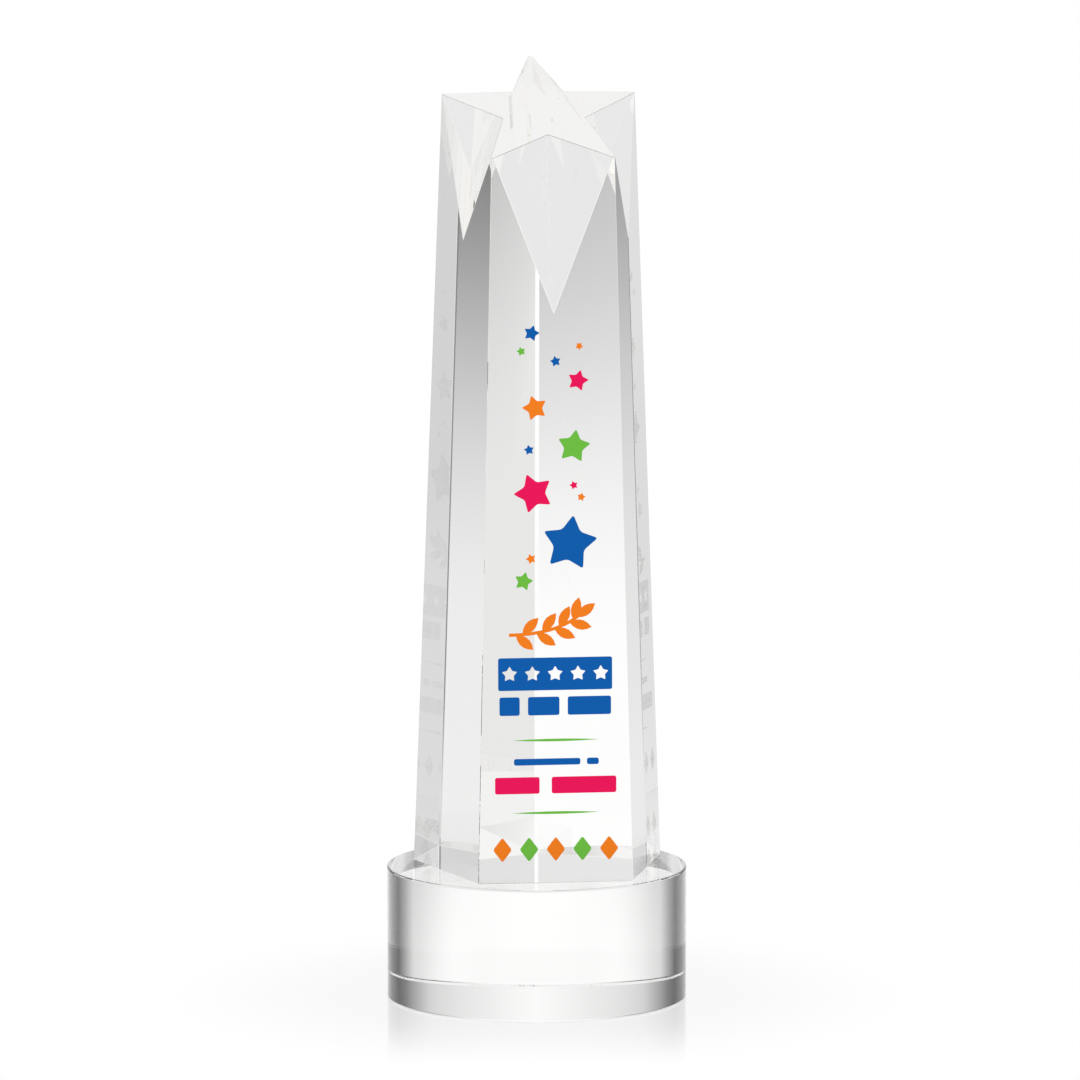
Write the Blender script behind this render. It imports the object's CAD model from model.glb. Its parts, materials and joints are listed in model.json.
"""Looks of the star trophy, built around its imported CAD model.

The trophy is a tapering five-sided tower of clear crystal with a slanted,
star-shaped top. It is bonded to a round crystal disc and printed in four inks
on its front face. Everything is in metres, with +Z up and the printed face
towards -Y.
"""

import json
import logging
import math
from dataclasses import dataclass, field
from enum import Enum

import bmesh
import bpy
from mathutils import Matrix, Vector


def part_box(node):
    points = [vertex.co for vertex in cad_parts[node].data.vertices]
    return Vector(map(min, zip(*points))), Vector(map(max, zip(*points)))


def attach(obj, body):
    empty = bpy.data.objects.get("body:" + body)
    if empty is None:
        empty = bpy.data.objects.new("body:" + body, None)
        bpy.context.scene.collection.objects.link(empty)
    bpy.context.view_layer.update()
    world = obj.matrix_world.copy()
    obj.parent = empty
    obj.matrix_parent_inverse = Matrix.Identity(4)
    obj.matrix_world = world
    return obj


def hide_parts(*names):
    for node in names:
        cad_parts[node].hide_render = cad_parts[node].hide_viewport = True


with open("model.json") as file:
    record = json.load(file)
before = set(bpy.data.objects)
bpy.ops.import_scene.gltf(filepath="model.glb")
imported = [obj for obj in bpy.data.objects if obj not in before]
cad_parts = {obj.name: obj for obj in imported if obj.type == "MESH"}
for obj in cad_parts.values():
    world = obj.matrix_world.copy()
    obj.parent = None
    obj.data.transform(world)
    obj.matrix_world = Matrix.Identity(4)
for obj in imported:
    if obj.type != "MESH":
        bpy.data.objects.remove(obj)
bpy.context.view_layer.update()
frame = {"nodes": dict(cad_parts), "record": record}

LOG = logging.getLogger("star_trophy")
BODY = "root"
MM = 0.001
HALF_TURN = 180.0
QUARTER_TURN = 90.0
WELD = 0.002 * MM
FINE_WELD = 0.0005 * MM
FLAT_ANGLE = math.radians(0.05)
BAND_SHARE = 0.35  # of the ink's shade, the rest is droplet grain
HAZE_EDGE = (0.52, 0.75)
INWARD_EDGE = (0.5, 0.9)
LIGHT_BOUNCES = 48
CLEAR_BOUNCES = 16
TOWER_NODE = "crystal_tower"
BASE_NODE = "crystal_base"
BOND_NODE = "adhesive_film"
PRINT_PREFIX = "print_"


# ---------------------------------------------------------------- node helpers
class Nodes:
    """A short-hand for building one shader node tree."""

    def __init__(self, tree: bpy.types.NodeTree) -> None:
        """Empties a node tree and keeps hold of it.

        Args:
            tree: The node tree of a material, a world or a group.
        """
        self.tree = tree
        tree.nodes.clear()

    def add(self, kind: str, inputs: dict | None = None, **settings: object) -> bpy.types.Node:
        """Adds one node.

        Args:
            kind: The node's type name.
            inputs: Socket names or numbers, each with a value or with the output that feeds it.
            **settings: Attributes of the node itself.

        Returns:
            The new node.
        """
        node = self.tree.nodes.new(kind)
        for name, value in settings.items():
            setattr(node, name, value)
        for name, value in (inputs or {}).items():
            if isinstance(value, bpy.types.NodeSocket):
                self.tree.links.new(value, node.inputs[name])
            else:
                node.inputs[name].default_value = value
        return node

    def math(self, operation: str, first: object, second: object = 0.0) -> bpy.types.NodeSocket:
        """Adds a Math node and returns its result.

        Args:
            operation: The Math node's operation.
            first: The first value, or the output that feeds it.
            second: The second value, or the output that feeds it.

        Returns:
            The node's output socket.
        """
        node = self.add("ShaderNodeMath", {0: first, 1: second}, operation=operation)
        return node.outputs[0]

    def ramp(self, factor: object, stops: tuple[tuple[float, float], ...]) -> bpy.types.NodeSocket:
        """Adds a grey ramp with straight stretches and returns its result.

        Args:
            factor: The output that runs along the ramp.
            stops: Places from 0 to 1, each with its grey value.

        Returns:
            The node's colour output.
        """
        node = self.add("ShaderNodeValToRGB", {0: factor})
        ramp = node.color_ramp
        ramp.interpolation = "LINEAR"
        while len(ramp.elements) < len(stops):
            ramp.elements.new(1.0)
        for element, (place, grey) in zip(ramp.elements, stops):
            element.position = place
            element.color = (grey, grey, grey, 1.0)
        return node.outputs[0]

    def blend(self, factor: object, first: object, second: object) -> bpy.types.NodeSocket:
        """Adds a Mix node that runs from the first value to the second.

        Args:
            factor: Where the result lies between the two, from 0 to 1.
            first: The value at 0, or the output that feeds it.
            second: The value at 1, or the output that feeds it.

        Returns:
            The node's output socket.
        """
        node = self.add("ShaderNodeMix", {0: factor, 2: first, 3: second}, data_type="FLOAT")
        return node.outputs[0]

    def band(self, value: object, low: float, high: float) -> bpy.types.NodeSocket:
        """Adds a smooth step from 0 to 1.

        Args:
            value: The output that is stepped.
            low: The value where the step is still 0.
            high: The value where the step has reached 1.

        Returns:
            The node's output socket.
        """
        node = self.add(
            "ShaderNodeMapRange",
            {"Value": value, "From Min": low, "From Max": high},
            interpolation_type="SMOOTHSTEP",
        )
        return node.outputs[0]


def new_group(name: str, inputs: dict[str, float], outputs: dict[str, str]) -> bpy.types.NodeTree:
    """Starts a shader node group with named sockets.

    Args:
        name: The group's name.
        inputs: Input names, each a number with its default.
        outputs: Output names, each with its socket type.

    Returns:
        The empty group.
    """
    group = bpy.data.node_groups.new(name, "ShaderNodeTree")
    for socket_name, default in inputs.items():
        socket = group.interface.new_socket(socket_name, in_out="INPUT", socket_type="NodeSocketFloat")
        socket.default_value = default
    for socket_name, kind in outputs.items():
        group.interface.new_socket(socket_name, in_out="OUTPUT", socket_type=kind)
    return group


def polish_group() -> bpy.types.NodeTree:
    """Builds the group for polished surfaces: faint haze, and a wavy height left by the polishing lap.

    Returns:
        A group that puts out a Roughness and a Height.
    """
    group = new_group(
        "lapped polish",
        {"Roughness": 0.0, "Haze": 0.01, "Haze Scale": 40.0, "Wave Scale": 25.0},
        {"Roughness": "NodeSocketFloat", "Height": "NodeSocketFloat"},
    )
    kit = Nodes(group)
    given = kit.add("NodeGroupInput")
    place = kit.add("ShaderNodeTexCoord").outputs["Object"]
    haze = kit.add(
        "ShaderNodeTexNoise",
        {"Vector": place, "Scale": given.outputs["Haze Scale"], "Detail": 4.0, "Roughness": 0.6},
    )
    patches = kit.band(haze.outputs[0], *HAZE_EDGE)
    hazy = kit.math("MULTIPLY", patches, given.outputs["Haze"])
    rough = kit.math("ADD", given.outputs["Roughness"], hazy)
    wave = kit.add(
        "ShaderNodeTexNoise", {"Vector": place, "Scale": given.outputs["Wave Scale"], "Detail": 1.0}
    )
    kit.add("NodeGroupOutput", {"Roughness": rough, "Height": wave.outputs[0]})
    return group


def ink_group() -> bpy.types.NodeTree:
    """Builds the group for cured inkjet ink: fine head banding and droplet grain.

    Returns:
        A group that puts out a Shade mask from 0 to 1 and a Height.
    """
    group = new_group(
        "inkjet ink",
        {"Band Scale": 900.0, "Grain Scale": 2600.0},
        {"Shade": "NodeSocketFloat", "Height": "NodeSocketFloat"},
    )
    kit = Nodes(group)
    given = kit.add("NodeGroupInput")
    place = kit.add("ShaderNodeTexCoord").outputs["Object"]
    bands = kit.add(
        "ShaderNodeTexWave",
        {"Vector": place, "Scale": given.outputs["Band Scale"], "Distortion": 0.6, "Detail": 1.0},
        bands_direction="Z",
    )
    grain = kit.add(
        "ShaderNodeTexNoise", {"Vector": place, "Scale": given.outputs["Grain Scale"], "Detail": 2.0}
    )
    band_part = kit.math("MULTIPLY", bands.outputs[1], BAND_SHARE)
    grain_part = kit.math("MULTIPLY", grain.outputs[0], 1.0 - BAND_SHARE)
    shade = kit.math("ADD", band_part, grain_part)
    kit.add("NodeGroupOutput", {"Shade": shade, "Height": grain.outputs[0]})
    return group


# ---------------------------------------------------------------- finishes
@dataclass(frozen=True)
class CrystalFinish:
    """Clear optical crystal, lapped and polished."""

    name: str
    slot: str = "crystal"
    ior: float = 1.517
    roughness: float = 0.0
    haze: float = 0.01
    wave_height: float = 0.0005 * MM
    tint: tuple[float, float, float] = (0.98, 0.95, 0.88)
    tint_density: float = 0.60
    colour: tuple[float, float, float] = (1.0, 1.0, 1.0)

    def material(self, polish: bpy.types.NodeTree) -> bpy.types.Material:
        """Builds the material.

        Args:
            polish: The lapped polish group.

        Returns:
            A glass material with its own absorption.
        """
        material = bpy.data.materials.new(self.name)
        material.use_nodes = True
        kit = Nodes(material.node_tree)
        surface = kit.add("ShaderNodeGroup", node_tree=polish)
        surface.inputs["Roughness"].default_value = self.roughness
        surface.inputs["Haze"].default_value = self.haze
        bump = kit.add(
            "ShaderNodeBump",
            {"Height": surface.outputs["Height"], "Strength": 1.0, "Distance": self.wave_height},
        )
        shader = kit.add(
            "ShaderNodeBsdfPrincipled",
            {
                "Base Color": (*self.colour, 1.0),
                "Metallic": 0.0,
                "Roughness": surface.outputs["Roughness"],
                "IOR": self.ior,
                "Transmission Weight": 1.0,
                "Normal": bump.outputs[0],
            },
        )
        body = kit.add(
            "ShaderNodeVolumeAbsorption", {"Color": (*self.tint, 1.0), "Density": self.tint_density}
        )
        kit.add("ShaderNodeOutputMaterial", {"Surface": shader.outputs[0], "Volume": body.outputs[0]})
        return material


class InkColour(Enum):
    """The four inks, as linear colours."""

    BLUE = (0.0, 0.112, 0.440)
    PINK = (0.900, 0.004, 0.104)
    ORANGE = (0.970, 0.226, 0.010)
    GREEN = (0.165, 0.545, 0.056)


@dataclass(frozen=True)
class InkFinish:
    """Cured inkjet ink in one colour."""

    colour: InkColour
    roughness: float = 0.42
    gloss: float = 0.10
    relief: float = 0.01 * MM
    relief_strength: float = 0.5
    depth: float = 0.08
    # The white ink that is laid down first shows from inside the crystal.
    underbase: float = 0.95
    white: tuple[float, float, float] = (0.94, 0.94, 0.93)

    @property
    def slot(self) -> str:
        """The record's material slot for this ink."""
        return f"ink_{self.colour.name.lower()}"

    def material(self, ink: bpy.types.NodeTree) -> bpy.types.Material:
        """Builds the material.

        Args:
            ink: The inkjet ink group.

        Returns:
            An opaque ink that is a little darker where the droplets lie thicker.
        """
        material = bpy.data.materials.new(f"{self.colour.name.lower()} ink")
        material.use_nodes = True
        kit = Nodes(material.node_tree)
        surface = kit.add("ShaderNodeGroup", node_tree=ink)
        dark = tuple(channel * (1.0 - self.depth) for channel in self.colour.value)
        mix = kit.add(
            "ShaderNodeMixRGB",
            {0: surface.outputs["Shade"], 1: (*dark, 1.0), 2: (*self.colour.value, 1.0)},
        )
        facing = kit.add("ShaderNodeNewGeometry").outputs["True Normal"]
        inward = kit.add("ShaderNodeSeparateXYZ", {0: facing})
        behind = kit.band(inward.outputs["Y"], *INWARD_EDGE)
        seen = kit.add(
            "ShaderNodeMixRGB",
            {
                0: kit.math("MULTIPLY", behind, self.underbase),
                1: mix.outputs[0],
                2: (*self.white, 1.0),
            },
        )
        bump = kit.add(
            "ShaderNodeBump",
            {"Height": surface.outputs["Height"], "Strength": self.relief_strength, "Distance": self.relief},
        )
        shader = kit.add(
            "ShaderNodeBsdfPrincipled",
            {
                "Base Color": seen.outputs[0],
                "Metallic": 0.0,
                "Roughness": self.roughness,
                "Specular IOR Level": self.gloss,
                "Normal": bump.outputs[0],
            },
        )
        kit.add("ShaderNodeOutputMaterial", {"Surface": shader.outputs[0]})
        return material


# ---------------------------------------------------------------- mesh helpers
def finished_piece(
    name: str, mesh_data: bmesh.types.BMesh, material: bpy.types.Material
) -> bpy.types.Object:
    """Turns a bmesh into a named piece that rides on the trophy's body.

    Args:
        name: The piece's name.
        mesh_data: The geometry, which is freed.
        material: The piece's only material.

    Returns:
        The new object.
    """
    mesh = bpy.data.meshes.new(name)
    bmesh.ops.recalc_face_normals(mesh_data, faces=mesh_data.faces)
    mesh_data.to_mesh(mesh)
    mesh_data.free()
    mesh.materials.append(material)
    piece = bpy.data.objects.new(name, mesh)
    bpy.context.scene.collection.objects.link(piece)
    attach(piece, BODY)
    LOG.info("%s: %d faces", name, len(mesh.polygons))
    return piece


def flat_faced_copy(node: str) -> bmesh.types.BMesh:
    """Copies a CAD node with one face for each of its flat sides.

    Args:
        node: The CAD node's name.

    Returns:
        The cleaned copy.
    """
    copy = bmesh.new()
    copy.from_mesh(frame["nodes"][node].data)
    bmesh.ops.remove_doubles(copy, verts=copy.verts, dist=WELD)
    bmesh.ops.dissolve_limit(copy, angle_limit=FLAT_ANGLE, verts=copy.verts, edges=copy.edges)
    return copy


# ---------------------------------------------------------------- sub-assemblies
@dataclass
class CrystalTower:
    """The tapering five-sided tower with its star-shaped top."""

    finish: CrystalFinish
    outline_finish: CrystalFinish
    arris: float = 0.11 * MM
    rear_flat: float = 0.44 * MM
    pieces: list[bpy.types.Object] = field(default_factory=list)

    def flatten_rear_edge(self, block: bmesh.types.BMesh) -> None:
        """Takes a narrow flat off the long edge at the back, where the two rear faces meet.

        Args:
            block: The tower, which is changed.
        """
        rear = max(
            block.edges,
            key=lambda edge: edge.calc_length() * sum(end.co.y for end in edge.verts),
        )
        outward = sum((face.normal for face in rear.link_faces), Vector()).normalized()
        cut = bmesh.ops.bisect_plane(
            block,
            geom=[*block.verts, *block.edges, *block.faces],
            plane_co=rear.verts[0].co - outward * self.rear_flat,
            plane_no=outward,
            clear_outer=True,
        )
        rim = [item for item in cut["geom_cut"] if isinstance(item, bmesh.types.BMEdge)]
        bmesh.ops.contextual_create(block, geom=rim)
        block.normal_update()

    def mark_outline(self, block: bmesh.types.BMesh, spot: Vector, upward: Vector) -> None:
        """Gives the arris around the slanted top the second finish.

        Args:
            block: The tower with its arrises, which is changed.
            spot: A place on the slanted top.
            upward: The direction that the slanted top faces.
        """
        reach = 2.0 * self.arris
        flat = 0.01 * self.arris
        for face in block.faces:
            depths = [abs((corner.co - spot).dot(upward)) for corner in face.verts]
            if flat < max(depths) < reach:
                face.material_index = 1

    def build(self, polish: bpy.types.NodeTree) -> None:
        """Builds the tower with a narrow polished arris on every outer edge.

        Args:
            polish: The lapped polish group.
        """
        block = flat_faced_copy(TOWER_NODE)
        self.flatten_rear_edge(block)
        top = max(block.faces, key=lambda face: face.normal.z)
        spot, upward = top.verts[0].co.copy(), top.normal.copy()
        outer = [edge for edge in block.edges if edge.is_convex]
        bmesh.ops.bevel(
            block,
            geom=outer,
            offset=self.arris,
            offset_type="OFFSET",
            segments=1,
            profile=0.5,
            affect="EDGES",
            clamp_overlap=True,
        )
        self.mark_outline(block, spot, upward)
        piece = finished_piece("tower", block, self.finish.material(polish))
        piece.data.materials.append(self.outline_finish.material(polish))
        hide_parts(TOWER_NODE)
        self.pieces.append(piece)


@dataclass
class CrystalBase:
    """The round disc that the tower stands on."""

    finish: CrystalFinish
    segments: int = 384
    arris: float = 0.6 * MM
    arris_steps: int = 4
    crease: float = 0.005
    pieces: list[bpy.types.Object] = field(default_factory=list)

    def profile(self, radius: float, low: float, high: float) -> list[Vector]:
        """Draws half of the disc's section, from the axis below to the axis above.

        Args:
            radius: The disc's radius.
            low: The height of its underside.
            high: The height of its top.

        Returns:
            Points in the XZ plane, with a rounded arris at each rim.
        """
        points = [Vector((0.0, 0.0, low))]
        for centre_z, start in ((low + self.arris, -QUARTER_TURN), (high - self.arris, 0.0)):
            for step in range(self.arris_steps + 1):
                turn = math.radians(start + QUARTER_TURN * step / self.arris_steps)
                reach = radius - self.arris + self.arris * math.cos(turn)
                points.append(Vector((reach, 0.0, centre_z + self.arris * math.sin(turn))))
        points.append(Vector((0.0, 0.0, high)))
        return points

    def build(self, polish: bpy.types.NodeTree) -> None:
        """Builds the disc as a turned solid.

        Args:
            polish: The lapped polish group.
        """
        low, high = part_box(BASE_NODE)
        radius = (high.x - low.x) / 2
        disc = bmesh.new()
        ring = [disc.verts.new(point) for point in self.profile(radius, low.z, high.z)]
        edges = [disc.edges.new(pair) for pair in zip(ring, ring[1:])]
        bmesh.ops.spin(
            disc,
            geom=ring + edges,
            cent=(0.0, 0.0, 0.0),
            axis=(0.0, 0.0, 1.0),
            angle=math.tau,
            steps=self.segments,
            use_merge=True,
        )
        bmesh.ops.remove_doubles(disc, verts=disc.verts, dist=FINE_WELD)
        disc.normal_update()
        for face in disc.faces:
            face.smooth = True
        for edge in disc.edges:
            slopes = sorted(abs(face.normal.z) for face in edge.link_faces)
            edge.smooth = slopes[1] - slopes[0] < self.crease
        piece = finished_piece("disc", disc, self.finish.material(polish))
        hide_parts(BASE_NODE)
        self.pieces.append(piece)


@dataclass
class BondLayer:
    """The thin clear bond between the tower's foot and the disc."""

    finish: CrystalFinish
    relief: float = 0.01 * MM
    pieces: list[bpy.types.Object] = field(default_factory=list)

    def build(self, polish: bpy.types.NodeTree) -> None:
        """Builds the bond a hair thinner than its space, so that no two surfaces coincide.

        Args:
            polish: The lapped polish group.
        """
        film = flat_faced_copy(BOND_NODE)
        low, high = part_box(BOND_NODE)
        middle = (low.z + high.z) / 2
        for vertex in film.verts:
            vertex.co.z += self.relief if vertex.co.z < middle else -self.relief
        piece = finished_piece("bond_layer", film, self.finish.material(polish))
        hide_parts(BOND_NODE)
        self.pieces.append(piece)


@dataclass
class FrontPrint:
    """The ink films on the front face, which keep their CAD shapes."""

    finishes: tuple[InkFinish, ...]

    def build(self, ink: bpy.types.NodeTree) -> None:
        """Gives each film the ink of its material slot.

        Args:
            ink: The inkjet ink group.
        """
        inks = {finish.slot: finish.material(ink) for finish in self.finishes}
        for subpart in frame["record"]["subparts"]:
            node = subpart["node"]
            if not node.startswith(PRINT_PREFIX):
                continue
            film = frame["nodes"][node]
            film.data.materials.clear()
            film.data.materials.append(inks[subpart["material_slot"]])
            LOG.info("%s: %s", node, subpart["material_slot"])


# ---------------------------------------------------------------- studio
@dataclass(frozen=True)
class StudioLight:
    """A soft surround, alike on both sides: backdrop, dark gap, side card, then the room in front.

    Angles are in degrees. Those of the backdrop, the gap, the card and the room are counted from
    straight behind the trophy, like those of the table's shade. The pairs are elevations, each a
    soft edge from dark to light, except overhead and underfoot, which are levels near the ring and
    far from it.
    """

    view_azimuth: float
    strength: float = 1.0
    backdrop: float = 1.0
    backdrop_rim: float = 0.8
    backdrop_fade: float = 25.0
    backdrop_end: float = 45.0
    gap_start: float = 60.0
    gap_end: float = 80.0
    card: float = 1.0
    card_start: float = 100.0
    card_end: float = 120.0
    corner: float = 0.5
    corner_place: float = 140.0
    room: float = 1.0
    room_start: float = 160.0
    upper_backdrop_rim: float = 0.7
    upper_backdrop_end: float = 35.0
    upper_corner_place: float = 180.0
    table_shade: float = 1.0
    table_shade_start: float = 15.0
    table_shade_full: float = 30.0
    table_shade_fade: float = 45.0
    table_shade_end: float = 90.0
    ring_floor: tuple[float, float] = (-13.0, -12.0)
    ring_ceiling: tuple[float, float] = (19.0, 11.0)
    ring_change: tuple[float, float] = (6.0, 11.0)
    edge_start: tuple[float, float] = (-11.0, -7.0)
    edge_end: tuple[float, float] = (13.0, -2.0)
    steep: tuple[float, float] = (25.0, 60.0)
    overhead: tuple[float, float] = (0.9, 0.9)
    underfoot: tuple[float, float] = (0.8, 0.9)
    horizon: tuple[float, float] = (-1.0, 1.0)

    def lower_ring(self) -> tuple[tuple[float, float], ...]:
        """Lists the surround's levels at table height, from straight behind round to the front.

        Returns:
            Angles, each with its level.
        """
        return (
            (0.0, self.backdrop),
            (self.backdrop_fade, self.backdrop),
            (self.backdrop_end, self.backdrop_rim),
            (self.gap_start, 0.0),
            (self.gap_end, 0.0),
            (self.card_start, self.card),
            (self.card_end, self.card),
            (self.corner_place, self.corner),
            (self.room_start, self.room),
        )

    def upper_ring(self) -> tuple[tuple[float, float], ...]:
        """Lists the levels higher up, where the backdrop fades sooner and the room is dark.

        Returns:
            Angles, each with its level.
        """
        return (
            (0.0, self.backdrop),
            (self.upper_backdrop_end, self.upper_backdrop_rim),
            (self.gap_start, 0.0),
            (self.gap_end, 0.0),
            (self.card_start, self.card),
            (self.corner_place, self.card),
            (self.upper_corner_place, 0.0),
        )

    def table_ring(self) -> tuple[tuple[float, float], ...]:
        """Lists how much of the light the table's far edge takes away.

        Returns:
            Angles, each with the share that is taken.
        """
        return (
            (self.table_shade_start, 0.0),
            (self.table_shade_full, self.table_shade),
            (self.table_shade_fade, self.table_shade),
            (self.table_shade_end, 0.0),
        )

    def build(self) -> None:
        """Builds the world. The camera itself sees only a plain pale backdrop."""
        world = bpy.data.worlds.new("soft studio")
        bpy.context.scene.world = world
        world.use_nodes = True
        kit = Nodes(world.node_tree)
        direction = kit.add("ShaderNodeTexCoord").outputs["Generated"]
        turned = kit.add(
            "ShaderNodeVectorRotate",
            {"Vector": direction, "Angle": math.radians(self.view_azimuth)},
            rotation_type="Z_AXIS",
        )
        part = kit.add("ShaderNodeSeparateXYZ", {0: turned.outputs[0]})
        turn = kit.math("ABSOLUTE", kit.math("ARCTAN2", part.outputs["X"], part.outputs["Y"]))
        share = kit.math("DIVIDE", turn, math.pi)
        rise = kit.math("MULTIPLY", kit.math("ARCSINE", part.outputs["Z"]), HALF_TURN / math.pi)
        low, high, edge = (
            kit.ramp(share, tuple((angle / HALF_TURN, grey) for angle, grey in stops))
            for stops in (self.lower_ring(), self.upper_ring(), self.table_ring())
        )
        ring = kit.blend(kit.band(rise, *self.ring_change), low, high)
        dip = kit.math("MULTIPLY", kit.band(rise, *self.edge_start), kit.band(rise, *self.edge_end))
        left_over = kit.math("SUBTRACT", 1.0, kit.math("MULTIPLY", dip, edge))
        dimmed = kit.math("MULTIPLY", ring, left_over)
        above = kit.blend(kit.band(rise, *self.steep), *self.overhead)
        fall = kit.math("MULTIPLY", rise, -1.0)
        below = kit.blend(kit.band(fall, *self.steep), *self.underfoot)
        open_part = kit.blend(kit.band(rise, *self.horizon), below, above)
        over_floor = kit.band(rise, *self.ring_floor)
        under_ceiling = kit.band(rise, *self.ring_ceiling)
        inside = kit.math("MULTIPLY", over_floor, under_ceiling)
        level = kit.blend(inside, open_part, dimmed)
        surround = kit.add("ShaderNodeBackground", {"Color": level, "Strength": self.strength})
        plain = kit.add("ShaderNodeBackground", {"Color": (1.0, 1.0, 1.0, 1.0), "Strength": 1.0})
        path = kit.add("ShaderNodeLightPath")
        mix = kit.add(
            "ShaderNodeMixShader",
            {0: path.outputs["Is Camera Ray"], 1: surround.outputs[0], 2: plain.outputs[0]},
        )
        kit.add("ShaderNodeOutputWorld", {"Surface": mix.outputs[0]})


@dataclass(frozen=True)
class StudioFloor:
    """A white floor with a faint sheen around the trophy's foot."""

    half_width: float = 8.0
    sheen: float = 0.30
    sheen_start: float = 0.050
    sheen_end: float = 0.135
    sheen_roughness: float = 0.04

    def build(self) -> None:
        """Builds the floor plane. Only the camera sees it: the crystal is lit by the surround."""
        mesh = bpy.data.meshes.new("floor")
        side = self.half_width
        corners = [(-side, -side, 0.0), (side, -side, 0.0), (side, side, 0.0), (-side, side, 0.0)]
        mesh.from_pydata(corners, [], [(0, 1, 2, 3)])
        floor = bpy.data.objects.new("floor", mesh)
        bpy.context.scene.collection.objects.link(floor)
        mesh.materials.append(self.material())
        for kind in ("diffuse", "glossy", "transmission", "volume_scatter", "shadow"):
            setattr(floor, f"visible_{kind}", False)

    def material(self) -> bpy.types.Material:
        """Builds the floor's material.

        Returns:
            A white surface that mirrors the disc weakly, and less further out.
        """
        material = bpy.data.materials.new("white floor")
        material.use_nodes = True
        kit = Nodes(material.node_tree)
        place = kit.add("ShaderNodeTexCoord").outputs["Object"]
        away = kit.add("ShaderNodeVectorMath", {0: place}, operation="LENGTH")
        fade = kit.band(away.outputs["Value"], self.sheen_end, self.sheen_start)
        white = kit.add("ShaderNodeEmission", {"Color": (1.0, 1.0, 1.0, 1.0), "Strength": 1.0})
        mirror = kit.add("ShaderNodeBsdfGlossy", {"Roughness": self.sheen_roughness})
        mix = kit.add(
            "ShaderNodeMixShader",
            {0: kit.math("MULTIPLY", fade, self.sheen), 1: white.outputs[0], 2: mirror.outputs[0]},
        )
        kit.add("ShaderNodeOutputMaterial", {"Surface": mix.outputs[0]})
        return material


@dataclass(frozen=True)
class StudioCamera:
    """A long lens, looking slightly down, a little to the trophy's left."""

    azimuth: float = 7.23
    distance: float = 2.923
    height: float = 0.5626
    aim: tuple[float, float, float] = (0.0011, 0.0, 0.1558)
    lens: float = 291.5
    sensor: float = 36.0
    far_limit: float = 50.0

    def build(self) -> None:
        """Builds the camera and makes it the scene's own."""
        turn = math.radians(self.azimuth)
        across = -self.distance * math.sin(turn)
        along = -self.distance * math.cos(turn)
        spot = Vector((across, along, self.height))
        data = bpy.data.cameras.new("camera")
        data.lens = self.lens
        data.sensor_width = self.sensor
        data.clip_end = self.far_limit
        camera = bpy.data.objects.new("camera", data)
        camera.location = spot
        camera.rotation_euler = (Vector(self.aim) - spot).to_track_quat("-Z", "Y").to_euler()
        bpy.context.scene.collection.objects.link(camera)
        bpy.context.scene.camera = camera


@dataclass(frozen=True)
class SoftLamp:
    """A soft area lamp for the gloss of the ink and the crystal's edges."""

    name: str
    azimuth: float
    elevation: float
    power: float
    size: float = 0.8
    reach: float = 2.2
    aim: tuple[float, float, float] = (0.0, 0.0, 0.15)

    def build(self) -> None:
        """Builds the lamp, which is never seen itself, straight on or through the crystal."""
        light = bpy.data.lights.new(self.name, "AREA")
        light.energy = self.power
        light.size = self.size
        lamp = bpy.data.objects.new(self.name, light)
        turn = math.radians(self.azimuth)
        tilt = math.radians(self.elevation)
        flat = self.reach * math.cos(tilt)
        spot = Vector((flat * math.sin(turn), -flat * math.cos(turn), self.reach * math.sin(tilt)))
        lamp.location = spot
        lamp.rotation_euler = (Vector(self.aim) - spot).to_track_quat("-Z", "Y").to_euler()
        lamp.visible_camera = False
        lamp.visible_transmission = False
        bpy.context.scene.collection.objects.link(lamp)


def set_up_scene() -> None:
    """Sets the colour handling and the light paths that layered clear crystal needs."""
    scene = bpy.context.scene
    scene.view_settings.view_transform = "Standard"
    scene.cycles.max_bounces = LIGHT_BOUNCES
    scene.cycles.transmission_bounces = LIGHT_BOUNCES
    scene.cycles.glossy_bounces = LIGHT_BOUNCES
    scene.cycles.transparent_max_bounces = CLEAR_BOUNCES


def main() -> None:
    """Builds the trophy and its studio."""
    logging.basicConfig(level=logging.INFO, format="%(name)s: %(message)s")
    camera = StudioCamera()
    camera.build()
    set_up_scene()
    polish = polish_group()
    ink = ink_group()
    crystal = CrystalFinish("clear crystal")
    outline = CrystalFinish("crystal arris", colour=(0.30, 0.30, 0.30))
    CrystalTower(crystal, outline).build(polish)
    CrystalBase(crystal).build(polish)
    BondLayer(CrystalFinish("clear bond", slot="adhesive", haze=0.05)).build(polish)
    FrontPrint(tuple(InkFinish(colour) for colour in InkColour)).build(ink)
    StudioLight(view_azimuth=camera.azimuth).build()
    StudioFloor().build()
    SoftLamp("key lamp", azimuth=-35.0, elevation=42.0, power=5.0).build()
    SoftLamp("fill lamp", azimuth=55.0, elevation=30.0, power=3.0).build()


if __name__ == "__main__":
    main()
